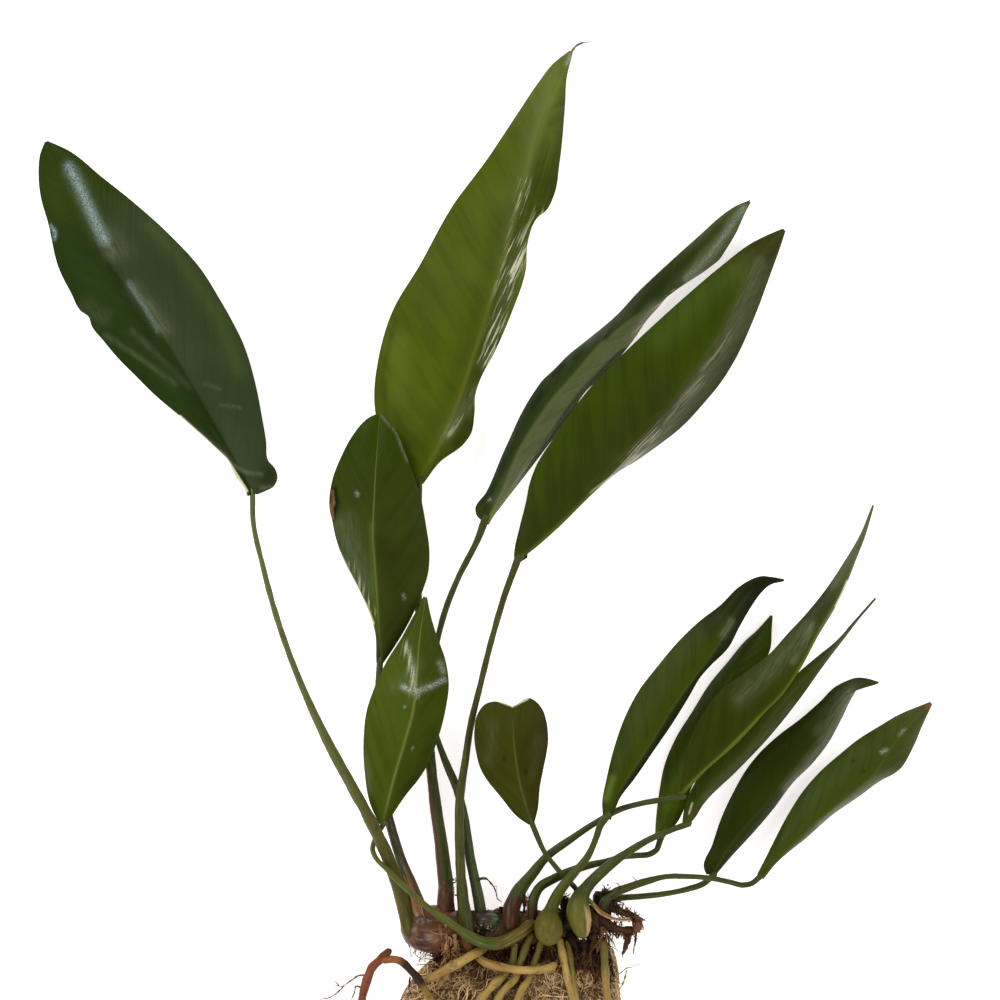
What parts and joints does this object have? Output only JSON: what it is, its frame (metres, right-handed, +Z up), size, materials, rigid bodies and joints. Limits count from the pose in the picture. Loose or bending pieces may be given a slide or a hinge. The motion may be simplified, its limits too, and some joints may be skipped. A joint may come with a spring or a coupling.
{
  "type": "anubias plant",
  "caption": "Bare-root anubias lying on its side: long leathery leaves on slim stalks along a creeping stem, with pale roots over a brown root tangle.",
  "frame": {"origin": "on the surface that the plant lies on, under the middle of its box", "axes": "+Y towards the tips of the leaves, -Y towards the ends of the roots, +Z up, away from the surface"},
  "size_m": [0.2681, 0.315, 0.0233],
  "materials": {
    "leaf": "satin",
    "stalk": "satin",
    "stem": "matte",
    "sheath": "satin",
    "root": "satin",
    "old_root": "matte",
    "tangle": "matte"
  },
  "bodies": {
    "root": {"rhizome": "stem", "crown_sheath": "sheath", "dead_base_upper": "stem", "dead_base_lower": "stem", "leaf_1": "leaf", "leaf_2": "leaf", "leaf_3": "leaf", "leaf_4": "leaf", "leaf_5": "leaf", "leaf_6": "leaf", "leaf_7": "leaf", "leaf_8": "leaf", "leaf_9": "leaf", "leaf_10": "leaf", "leaf_11": "leaf", "leaf_12": "leaf", "leaf_13": "leaf", "stalk_1": "stalk", "stalk_2": "stalk", "stalk_3": "stalk", "stalk_4": "stalk", "stalk_5": "stalk", "stalk_6": "stalk", "stalk_7": "stalk", "stalk_8": "stalk", "stalk_9": "stalk", "stalk_10": "stalk", "stalk_11": "stalk", "stalk_12": "stalk", "stalk_13": "stalk", "root_1": "root", "root_2": "root", "root_3": "root", "root_4": "root", "root_5": "root", "root_6": "root", "root_7": "root", "root_8": "root", "root_9": "root", "loop_root": "old_root", "root_mass": "tangle"}
  },
  "joints": []
}
